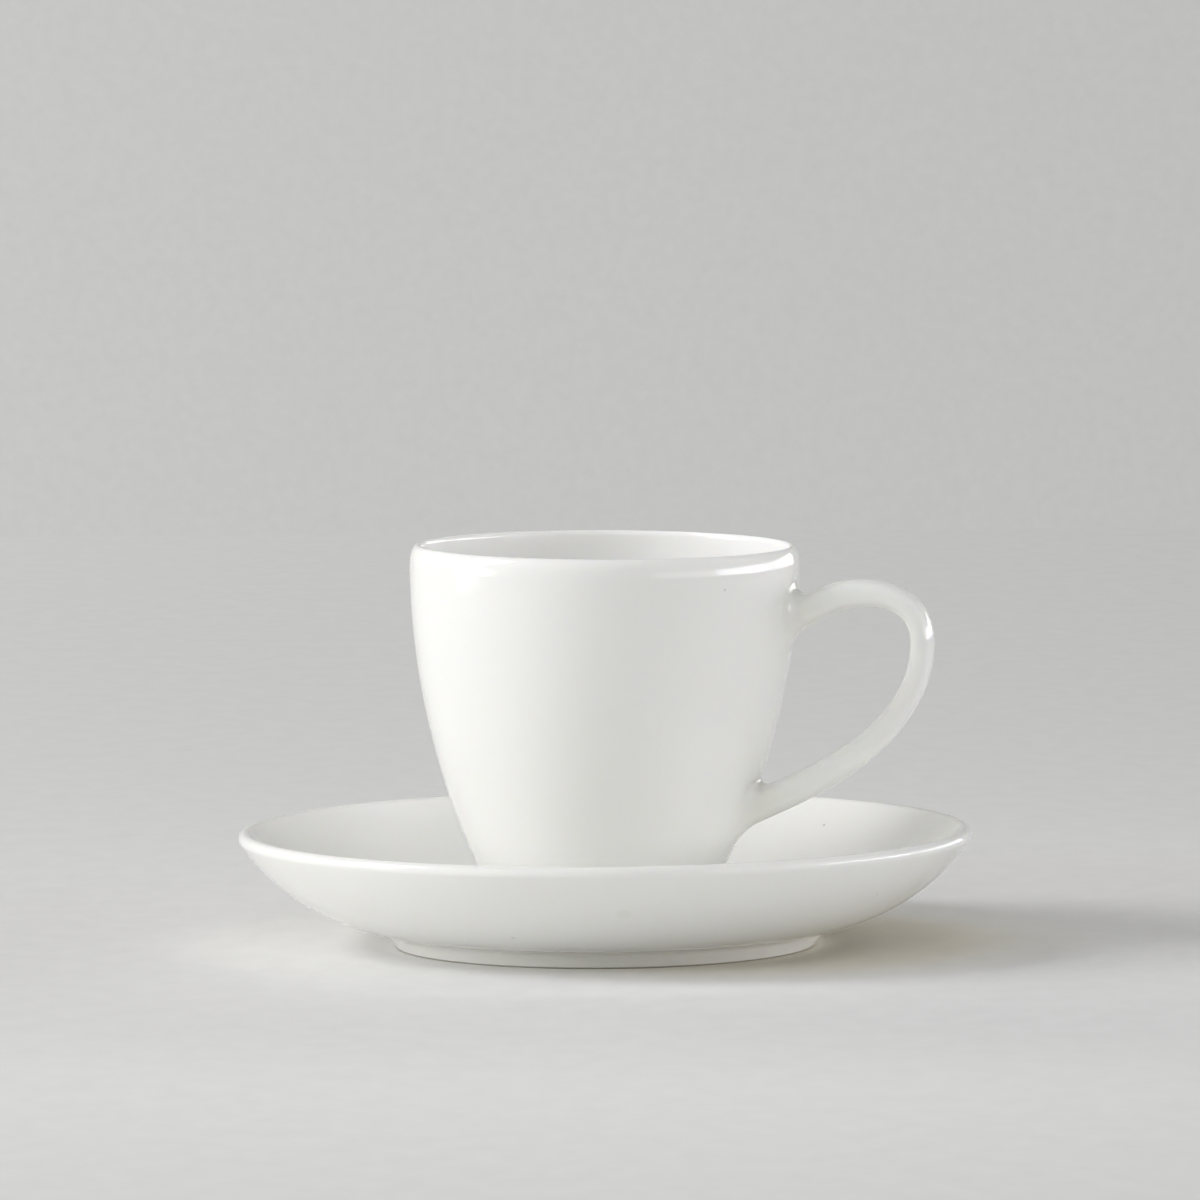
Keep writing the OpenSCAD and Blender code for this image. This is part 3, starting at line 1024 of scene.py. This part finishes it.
@dataclass(frozen=True)
class Handle:
    """The ear-shaped loop, with rounded joints where it is luted onto the wall.

    Heights count from the cup's foot. The roots leave the wall straight, by the angles top_rise
    and low_rise, and the pull shares say how far the curves between them are drawn out. A joint's
    rim lies seat_depth inside the wall, and the middle of its hidden face core_depth.
    """

    top_height: float = 49.7
    low_height: float = 17.7
    reach: float = 21.2
    bow_height: float = 45.8
    top_rise: float = 26
    low_rise: float = 25
    width: float = 6.5
    top_thickness: float = 5
    bow_thickness: float = 3.7
    low_thickness: float = 5.1
    fillet: float = 4
    root_spare: float = 0.4
    section_power: float = 2.6
    top_pull_share: float = 0.46
    bow_top_pull_share: float = 0.52
    bow_low_pull_share: float = 0.58
    low_pull_share: float = 0.27
    seat_depth: float = 0.02
    core_depth: float = 0.8
    sides: int = 64
    span_steps: int = 64
    fillet_steps: int = 20
    cap_steps: int = 5
    slide_tries: int = 8
    seat_fade: Fade = Fade(4.5, 8.5, 0.8)

    @staticmethod
    def _way(rise: float) -> Point:
        """Returns the direction of a root that rises from the wall by an angle in degrees."""
        return (math.cos(math.radians(rise)), math.sin(math.radians(rise)))

    def _start(self, cup: Cup, height: float, rise: float, thickness: float) -> Point:
        """Finds the end of a straight root, where the loop starts to bend.

        Args:
            cup: the cup that the handle sits on.
            height: where the root meets the wall.
            rise: how steeply it rises from there, in degrees.
            thickness: the handle's thickness there.

        Returns:
            The point on the handle's middle line.
        """
        slant = math.tan(math.radians(rise) + cup.wall_turn(height))
        length = self.fillet + thickness / 2 * slant + self.root_spare
        way = self._way(rise)
        return (cup.wall_x(height) + length * way[0], height + length * way[1])

    def _skin(self, cup: Cup, across: float, height: float, depth: float) -> Place:
        """Returns the place on the wall, or a depth inside it, at a place across and a height."""
        return (half_chord(cup.wall_x(height) - depth, across), across, height)

    def _slide(self, cup: Cup, place: Place, way: Point) -> Place:
        """Slides a place along a root's way until it meets the wall.

        Args:
            cup: the cup that the handle sits on.
            place: the place to start from.
            way: the root's direction.

        Returns:
            The place on the wall.
        """
        x, y, z = place
        for _ in range(self.slide_tries):
            step = (self._skin(cup, y, z, self.seat_depth)[0] - x) / way[0]
            x, z = x + step * way[0], z + step * way[1]
        return self._skin(cup, y, z, self.seat_depth)

    def _section(self, middle: Point, way: Point, thickness: float) -> list[Place]:
        """Lists one rounded oblong ring of the handle.

        Args:
            middle: the point of the middle line that it goes round.
            way: the middle line's direction there.
            thickness: the handle's thickness there.

        Returns:
            The ring's places.
        """
        ring = []
        for i in range(self.sides):
            turn = math.tau * i / self.sides
            c, s = math.cos(turn), math.sin(turn)
            out = thickness / 2 * math.copysign(abs(c) ** (2 / self.section_power), c)
            wide = self.width / 2 * math.copysign(abs(s) ** (2 / self.section_power), s)
            ring.append((middle[0] - way[1] * out, wide, middle[1] + way[0] * out))
        return ring

    def _span(
        self, start: Point, pulls: tuple[Point, Point], end: Point, sizes: Point
    ) -> list[list[Place]]:
        """Lists the rings of one span of the loop.

        Args:
            start: the middle line's first point.
            pulls: the two points that draw it.
            end: its last point.
            sizes: the thickness at both ends.

        Returns:
            The rings.
        """
        axes = list(zip(start, *pulls, end))
        rings = []
        for i in range(self.span_steps + 1):
            t = i / self.span_steps
            u = 1 - t
            shares = (u**3, 3 * u * u * t, 3 * u * t * t, t**3)
            middle = tuple(blended(shares, axis) for axis in axes)
            leads = (u * u, 2 * u * t, t * t)
            slope = tuple(
                blended(leads, [after - before for before, after in pairwise(axis)])
                for axis in axes
            )
            length = math.hypot(*slope)
            eased = sizes[0] + (sizes[1] - sizes[0]) * t * t * (3 - 2 * t)
            rings.append(self._section(middle, (slope[0] / length, slope[1] / length), eased))
        return rings

    def _joint(self, cup: Cup, ring: list[Place], way: Point) -> list[list[Place]]:
        """Lists the rings of one joint, from the middle of its hidden seat out to the root.

        Args:
            cup: the cup that the handle sits on.
            ring: the first ring of the loop.
            way: the root's direction.

        Returns:
            The rings of the seat, then of the flare.
        """
        met = [self._slide(cup, place, way) for place in ring]
        mid_height = sum(place[2] for place in met) / len(met)
        edge = []
        for _, y, z in met:
            length = math.hypot(y, z - mid_height)
            share = 1 + self.fillet / length
            height = mid_height + (z - mid_height) * share
            edge.append(self._skin(cup, y * share, height, self.seat_depth))
        seat = []
        for k in (i / self.cap_steps for i in range(1, self.cap_steps + 1)):
            inner = [(y * k, mid_height + (z - mid_height) * k) for _, y, z in edge]
            seat.append([self._skin(cup, y, z, self.core_depth) for y, z in inner])
        out = (self.fillet * way[0], 0, self.fillet * way[1])
        strips = []
        for low, corner in zip(edge, met):
            high = tuple(c + o for c, o in zip(corner, out))
            strips.append(bend(low, corner, high, self.fillet_steps))
        flare = [[strip[k] for strip in strips] for k in range(self.fillet_steps)]
        return seat + flare

    def rings(self, cup: Cup) -> list[list[Place]]:
        """Lists all rings from the middle of the upper seat to the middle of the lower one.

        Args:
            cup: the cup that the handle sits on.

        Returns:
            The rings, each with the same number of places.
        """
        top = self._start(cup, self.top_height, self.top_rise, self.top_thickness)
        low = self._start(cup, self.low_height, self.low_rise, self.low_thickness)
        bow = (cup.diameter / 2 + self.reach, self.bow_height)
        top_way, low_way = self._way(self.top_rise), self._way(self.low_rise)
        top_lead = self.top_pull_share * (bow[0] - top[0])
        low_lead = self.low_pull_share * (bow[0] - low[0])
        top_pull = tuple(p + top_lead * w for p, w in zip(top, top_way))
        low_pull = tuple(p + low_lead * w for p, w in zip(low, low_way))
        above = (bow[0], bow[1] + self.bow_top_pull_share * (bow[0] - top[0]))
        below = (bow[0], bow[1] - self.bow_low_pull_share * (bow[1] - low[1]))
        upper = self._span(top, (top_pull, above), bow, (self.top_thickness, self.bow_thickness))
        lower = self._span(bow, (below, low_pull), low, (self.bow_thickness, self.low_thickness))
        top_joint = self._joint(cup, upper[0], top_way)
        low_joint = self._joint(cup, lower[-1], low_way)
        return [*top_joint, *upper, *lower[1:], *reversed(low_joint)]

    def build(self, cup: Cup, groups: GlazeGroups, glaze: Glaze) -> bpy.types.Object:
        """Builds the handle, dresses it and puts it on the cup's body.

        Args:
            cup: the cup that it sits on.
            groups: the shared shader groups.
            glaze: the finish.

        Returns:
            The piece.
        """
        rings = self.rings(cup)
        ends = [self._skin(cup, 0, h, self.core_depth) for h in (self.top_height, self.low_height)]
        places = [place for ring in rings for place in ring] + ends
        lifted = [cup.warp.bent((x, y, z + cup.stand_height)) for x, y, z in places]
        count = self.sides
        faces = []
        for r in range(len(rings) - 1):
            for i in range(count):
                j = (i + 1) % count
                a, b = r * count + i, r * count + j
                faces.append((a, a + count, b + count, b))
        first, last = len(rings) * count, len(rings) * count + 1
        for i in range(count):
            j = (i + 1) % count
            faces.append((first, i, j))
            faces.append((last, first - count + j, first - count + i))
        mesh = bpy.data.meshes.new("handle_china")
        mesh.from_pydata([tuple(c * MM for c in place) for place in lifted], [], faces)
        mesh.shade_smooth()
        mesh.validate()
        piece = placed("handle_china", mesh)
        seats = [
            Spot((cup.wall_x(height), 0, height + cup.stand_height), self.seat_fade)
            for height in (self.top_height, self.low_height)
        ]
        mesh.materials.append(glaze.material("handle_glaze", groups, pool=tuple(seats)))
        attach(piece, "cup")
        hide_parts("cup_handle")
        return piece


@dataclass(frozen=True)
class Panel:
    """An upright lamp far off, square to the line from the cup, that fills a span of directions.

    Attributes:
        name: what the lamp does.
        start: the azimuth of one side edge, in degrees, 0 towards the camera and 90 to its right.
        end: the azimuth of the other side edge.
        low: the elevation of its lower edge above the table, in degrees.
        high: the elevation of its upper edge.
        radiance: how bright its face is, where 1 is white.
        tint: its colour.
        mirrored: whether the glaze mirrors it.
    """

    name: str
    start: float
    end: float
    low: float
    high: float
    radiance: float
    tint: Colour = (1, 1, 1)
    mirrored: bool = True


@dataclass(frozen=True)
class SoftBox:
    """A square lamp that faces the cup from a distance.

    Attributes:
        name: what the lamp does.
        azimuth: its direction from the cup, in degrees, 0 towards the camera and 90 to its right.
        elevation: its height above the table, in degrees.
        distance: from the cup, in millimetres.
        size: the length of its sides, in millimetres.
        radiance: how bright its face is, where 1 is white.
        tint: its colour.
        mirrored: whether the glaze mirrors it.
    """

    name: str
    azimuth: float
    elevation: float
    distance: float
    size: float
    radiance: float
    tint: Colour = (1, 1, 1)
    mirrored: bool = False


@dataclass(frozen=True)
class Studio:
    """The pale table, the grey room, the lamps and the camera.

    Lengths are in millimetres and angles in degrees. The fields that start with near set the
    darker, warmer paper close to the saucer: painted shade with a painted warm bounce from the
    china. Glow sets a painted pool of light on the table in front of it, and shadow the part of
    the table that keeps a real shadow. Fall and spread say how a grey darkens to the right, a
    painted falloff of the light from the left.
    """

    camera_distance: float = 1603.8
    camera_height: float = 188.4
    camera_turn: float = 13
    camera_pitch: float = 4.698
    camera_roll: float = 0.45
    camera_side: float = -0.5
    lens: float = 295.31
    sensor: float = 36
    sight: float = 100
    table_reach: float = 900
    table_left: float = 507
    room_grey: Colour = (0.546, 0.546, 0.536)
    room_fall: float = 0.79
    room_spread: float = 0.11
    ambient: Colour = (0.006, 0.006, 0.006)
    paper: Colour = (0.86, 0.858, 0.847)
    paper_painted_shade: Colour = (0.75, 0.716, 0.63)
    near_shade_aside: float = 24
    near_shade_core: float = 26
    near_shade_reach: float = 62
    glow_grey: Colour = (0.156, 0.156, 0.158)
    glow_ahead: float = 120
    glow_reach: float = 270
    glow_power: float = 1.3
    table_fall: float = 0.0004
    table_spread: float = 250
    shadow_ahead: float = 5
    shadow_aside: float = 60
    shadow_stretch: float = 1.6
    shadow_core: float = 105
    shadow_reach: float = 200
    grain_width: float = 5
    grain_length: float = 10
    grain_angle: float = 0.0011
    grain_share: float = 0.08
    grain_detail: float = 2
    panel_distance: float = 3000
    panels: tuple[Panel, ...] = (
        Panel("key_foot", -98, -88, -6, 0, 2.4),
        Panel("key_foot_side", -88, -78, -6, 0, 1.0),
        Panel("key_ground", -98, -78, 0, 6, 13.0),
        Panel("key_low", -98, -78, 6, 12, 5.8, (0.97, 0.96, 1.07)),
        Panel("key_heart", -98, -78, 12, 20, 6.0, (1, 0.99, 1.01)),
        Panel("key_upper", -98, -78, 20, 30, 6.9, (1.01, 0.98, 1.01)),
        Panel("key_high", -98, -78, 30, 45, 5.4, (1, 1.02, 0.98)),
        Panel("side_low", -78, -68, 0, 12, 2.9, (1.06, 0.98, 0.96)),
        Panel("side_high", -78, -68, 30, 45, 10.5, (0.99, 0.98, 1.03)),
        Panel("wing", -68, -18, 12, 30, 3.25, (0.98, 1, 1.02), mirrored=False),
        Panel("card", 70, 110, 0, 12, 6.4, (0.98, 0.97, 1.05)),
        Panel("card_high", 70, 110, 12, 60, 0.6),
        Panel("card_side", 30, 70, 0, 12, 1.7),
        Panel("card_side_high", 30, 70, 12, 35, 0.6),
        Panel("card_back", 110, 150, 0, 12, 3.0),
    )
    boxes: tuple[SoftBox, ...] = (
        SoftBox("front_low", 0, 6, 1550, 800, 0.3, (0.97, 1, 1.03)),
        SoftBox("front_high", 0, 28, 1550, 500, 2.9),
        SoftBox("back_left", -150, 15, 1500, 700, 2.4, (1.08, 1.04, 0.88)),
        SoftBox("back_high", -130, 45, 3000, 1400, 0.4),
        SoftBox("top", 0, 90, 1200, 1000, 0.92),
    )

    def direction(self, azimuth: float, elevation: float = 0) -> Place:
        """Returns a direction from the cup: azimuth 0 is towards the camera, 90 to its right."""
        turn = math.radians(azimuth - 90 + self.camera_turn)
        rise = math.radians(elevation)
        return (math.cos(turn) * math.cos(rise), math.sin(turn) * math.cos(rise), math.sin(rise))

    def spot(self, side: float, ahead: float, height: float) -> Place:
        """Finds a place in the studio.

        Args:
            side: how far it is to the right of the cup, in millimetres.
            ahead: how far it is towards the camera.
            height: how high it is above the table.

        Returns:
            The place, in metres.
        """
        right, front = self.direction(90), self.direction(0)
        return (*((side * r + ahead * f) * MM for r, f in zip(right[:2], front[:2])), height * MM)

    def set_camera(self) -> None:
        """Makes the camera at the photograph's viewing angle."""
        data = bpy.data.cameras.new("camera")
        data.sensor_fit = "HORIZONTAL"
        data.sensor_width = self.sensor
        data.lens = self.lens
        data.clip_end = self.sight
        camera = placed("camera", data)
        camera.location = self.spot(self.camera_side, self.camera_distance, self.camera_height)
        camera.rotation_mode = "XYZ"
        rise, turn = math.radians(90 - self.camera_pitch), math.radians(self.camera_turn)
        camera.rotation_euler = (rise, 0, turn)
        camera.rotation_euler.rotate_axis("Z", -math.radians(self.camera_roll))
        bpy.context.scene.camera = camera

    @staticmethod
    def _hang(lamp: Panel | SoftBox, place: Place, back: Place, sizes: Point) -> None:
        """Hangs one lamp.

        Args:
            lamp: its name, brightness and tint.
            place: its middle, in metres.
            back: the direction that it turns away from.
            sizes: its width and height, in millimetres.
        """
        data = bpy.data.lights.new(lamp.name, "AREA")
        data.shape = "RECTANGLE"
        data.size, data.size_y = (side * MM for side in sizes)
        data.energy = lamp.radiance * math.pi * data.size * data.size_y
        data.color = lamp.tint
        holder = placed(lamp.name, data)
        holder.location = place
        holder.rotation_mode = "QUATERNION"
        holder.rotation_quaternion = Vector(back).to_track_quat("Z", "Y")
        holder.visible_camera = False
        holder.visible_glossy = lamp.mirrored

    def set_lamps(self) -> None:
        """Hangs the panels and the soft boxes."""
        away = self.panel_distance
        for panel in self.panels:
            low, high = (away * math.tan(math.radians(rise)) for rise in (panel.low, panel.high))
            width = 2 * away * math.tan(math.radians(abs(panel.end - panel.start) / 2))
            back = self.direction((panel.start + panel.end) / 2)
            place = tuple(c * away * MM for c in back[:2])
            self._hang(panel, (*place, (low + high) / 2 * MM), back, (width, high - low))
        for box in self.boxes:
            back = self.direction(box.azimuth, box.elevation)
            self._hang(box, tuple(c * box.distance * MM for c in back), back, (box.size, box.size))

    @staticmethod
    def _seen(board: NodeBoard) -> Socket:
        """Returns 1 for a ray that sees the room or mirrors it, 0 for one that gathers light."""
        path = board.add("ShaderNodeLightPath").outputs
        mirrored = board.sum("MAXIMUM", path["Is Glossy Ray"], path["Is Transmission Ray"])
        return board.sum("MAXIMUM", path["Is Camera Ray"], mirrored)

    def _axes(self, board: NodeBoard, place: Socket) -> Sockets:
        """Splits a place into how far it is to the right of the cup, away from it and up."""
        turn = {"Vector": place, "Rotation": (0, 0, -math.radians(self.camera_turn))}
        return board.split(board.add("ShaderNodeMapping", turn).outputs[0])

    @staticmethod
    def _painted_falloff(
        board: NodeBoard, colour: Feed, side: Socket, fall: float, spread: float
    ) -> Socket:
        """Darkens a colour a little to the right and lightens it to the left.

        Args:
            board: the material's board.
            colour: the colour in the middle.
            side: the socket of the distance to the right.
            fall: the share lost for each unit of that distance.
            spread: the distance past which nothing more is lost.

        Returns:
            The colour's socket.
        """
        # This paints the falloff of the light that comes from the left.
        places = {"Value": side, "From Min": -spread, "From Max": spread}
        levels = {"To Min": 1 + fall * spread, "To Max": 1 - fall * spread}
        return board.scaled(colour, board.add("ShaderNodeMapRange", places | levels).outputs[0])

    def set_world(self) -> None:
        """Fills the room with a weak even light, and shows it as a pale grey."""
        world = bpy.data.worlds.new("room")
        bpy.context.scene.world = world
        world.use_nodes = True
        board = NodeBoard(world.node_tree)
        board.tree.nodes.clear()
        outward = board.add("ShaderNodeTexCoord").outputs["Generated"]
        side = self._axes(board, outward)[0]
        # The room's grey darkens to the right: a painted falloff of the light from the left.
        shown = self._painted_falloff(board, self.room_grey, side, self.room_fall, self.room_spread)
        shown = board.scaled(shown, self._grain(board, outward, 1 / self.grain_angle))
        colour = board.blend_colour(self._seen(board), (*self.ambient, 1), shown)
        back = board.add("ShaderNodeBackground", {"Color": colour, "Strength": 1.0}).outputs[0]
        board.add("ShaderNodeOutputWorld", {"Surface": back})

    def _grain(self, board: NodeBoard, place: Socket, scale: float) -> Socket:
        """Makes the faint cloudiness of a plain backdrop, as a factor close to 1."""
        uneven = board.sum("SUBTRACT", board.noise(place, scale, self.grain_detail), 0.5)
        return board.sum("MULTIPLY_ADD", uneven, self.grain_share, 1.0)

    @staticmethod
    def _distance(
        board: NodeBoard, axes: Sockets, aside: float, ahead: float, stretch: float = 1
    ) -> Socket:
        """Measures how far a place on the table is from a spot.

        Args:
            board: the material's board.
            axes: the sockets of the place's distances to the right and away.
            aside: how far the spot is to the right of the cup, in millimetres.
            ahead: how far it is towards the camera.
            stretch: how much further the same distance reaches sideways.

        Returns:
            The distance's socket, in metres.
        """
        across = board.sum("DIVIDE", board.sum("SUBTRACT", axes[0], aside * MM), stretch)
        return board.length(across, board.sum("ADD", axes[1], ahead * MM))

    def _paper(self) -> bpy.types.Material:
        """Makes the table's paper: real round the cup, and the room's own grey further out."""
        made, board = new_surface("paper")
        axes = self._axes(board, board.add("ShaderNodeTexCoord").outputs["Object"])
        across = board.sum("DIVIDE", axes[0], self.grain_width * MM)
        along = board.sum("DIVIDE", axes[1], self.grain_length * MM)
        level = self._grain(board, board.join(across, along), 1.0)
        # The shown grey gets a painted pool of light in front of the cup.
        away = self._distance(board, axes, 0, self.glow_ahead)
        power = board.sum("POWER", board.sum("DIVIDE", away, self.glow_reach * MM), self.glow_power)
        glow = board.sum("EXPONENT", board.sum("MULTIPLY", power, -1.0))
        lit = tuple(grey + more for grey, more in zip(self.room_grey, self.glow_grey))
        shown = board.blend_colour(glow, (*self.room_grey, 1), (*lit, 1))
        # A painted falloff of the light from the left darkens it to the right.
        shown = self._painted_falloff(board, shown, axes[0], self.table_fall / MM, self.table_spread * MM)
        lit_grey = {"Color": board.scaled(shown, level), "Strength": 1.0}
        # Near the saucer the paper gets painted shade and a painted warm bounce from the china.
        apart = self._distance(board, axes, self.near_shade_aside, 0)
        shaded = board.fade(apart, self.near_shade_reach * MM, self.near_shade_core * MM)
        tone = board.blend_colour(shaded, (*self.paper, 1), (*self.paper_painted_shade, 1))
        apart = self._distance(
            board, axes, self.shadow_aside, self.shadow_ahead, self.shadow_stretch
        )
        outside = board.fade(apart, self.shadow_core * MM, self.shadow_reach * MM)
        paper = {"Color": board.scaled(tone, level)}
        sides = {
            "Fac": board.sum("MULTIPLY", self._seen(board), outside),
            "Shader": board.add("ShaderNodeBsdfDiffuse", paper).outputs[0],
            "Shader_001": board.add("ShaderNodeEmission", lit_grey).outputs[0],
        }
        mixed = board.add("ShaderNodeMixShader", sides).outputs[0]
        board.add("ShaderNodeOutputMaterial", {"Surface": mixed})
        return made

    def set_table(self) -> None:
        """Lays the pale table, which keeps the shadow and fades to the room's grey."""
        mesh = bpy.data.meshes.new("table")
        left, reach = -self.table_left, self.table_reach
        corners = ((left, reach), (reach, reach), (reach, -reach), (left, -reach))
        mesh.from_pydata([self.spot(side, ahead, 0) for side, ahead in corners], [], [(0, 1, 2, 3)])
        table = placed("table", mesh)
        mesh.materials.append(self._paper())

    def build(self) -> None:
        """Sets up the camera, the lamps, the room and the table."""
        self.set_camera()
        self.set_lamps()
        self.set_world()
        self.set_table()
        bpy.context.scene.view_settings.view_transform = "Standard"


def report(piece: bpy.types.Object) -> None:
    """Logs what a finished piece holds."""
    sizes = " x ".join(f"{side / MM:.1f}" for side in piece.dimensions)
    log.info("%s: %d faces, %s mm", piece.name, len(piece.data.polygons), sizes)


def main() -> None:
    """Builds the saucer, the cup, the handle and the studio, in that order."""
    logging.basicConfig(level=logging.INFO, format="%(message)s")
    Studio().build()
    turning, groups, glaze = TurningTree(), GlazeGroups(), Glaze()
    saucer, cup = Saucer.fitted(), Cup.fitted()
    report(saucer.build(turning, groups, glaze))
    report(cup.build(turning, groups, glaze))
    report(Handle().build(cup, groups, glaze))


if __name__ == "__main__":
    main()
